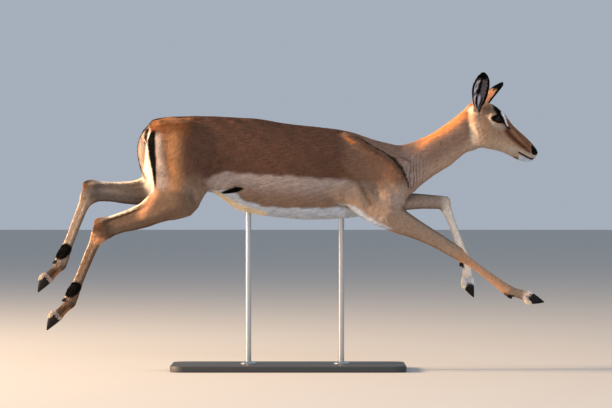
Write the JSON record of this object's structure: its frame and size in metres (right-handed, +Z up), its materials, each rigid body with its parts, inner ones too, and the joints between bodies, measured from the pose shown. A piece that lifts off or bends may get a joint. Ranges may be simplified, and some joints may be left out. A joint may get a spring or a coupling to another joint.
{
  "type": "impala antelope",
  "caption": "Life-size hornless impala ewe at full gallop with every foot off the ground, held by a plain display stand with a flat base and rods into the belly.",
  "frame": {"origin": "middle of the underside of the stand's base", "axes": "+X the way the animal faces, +Y towards its left side, +Z up"},
  "size_m": [1.6465, 0.36, 0.9618],
  "materials": {
    "coat": "short glossy hair, red-brown on the back, paling to fawn and white below",
    "leg_coat": "very short fawn hair, with black tufts above the hind fetlocks",
    "horn": "black horn of the hooves, with fine growth rings",
    "eye": "wet, almost black brown eye",
    "stand_base": "matt dark grey powder coat",
    "stand_steel": "brushed stainless steel"
  },
  "bodies": {
    "root": {"cannon_front_left": "leg_coat", "cannon_front_right": "leg_coat", "cannon_hind_left": "leg_coat", "cannon_hind_right": "leg_coat", "ear_left": "coat", "ear_right": "coat", "eye_left": "eye", "eye_right": "eye", "forearm_front_left": "leg_coat", "forearm_front_right": "leg_coat", "gaskin_hind_left": "leg_coat", "gaskin_hind_right": "leg_coat", "head": "coat", "hoof_front_left_inner": "horn", "hoof_front_left_outer": "horn", "hoof_front_right_inner": "horn", "hoof_front_right_outer": "horn", "hoof_hind_left_inner": "horn", "hoof_hind_left_outer": "horn", "hoof_hind_right_inner": "horn", "hoof_hind_right_outer": "horn", "neck": "coat", "shoulder_front_left": "coat", "shoulder_front_right": "coat", "stand_base": "stand_base", "stand_collar_front": "stand_steel", "stand_collar_rear": "stand_steel", "stand_rod_front": "stand_steel", "stand_rod_rear": "stand_steel", "tail": "coat", "thigh_hind_left": "coat", "thigh_hind_right": "coat", "trunk": "coat"}
  },
  "joints": []
}
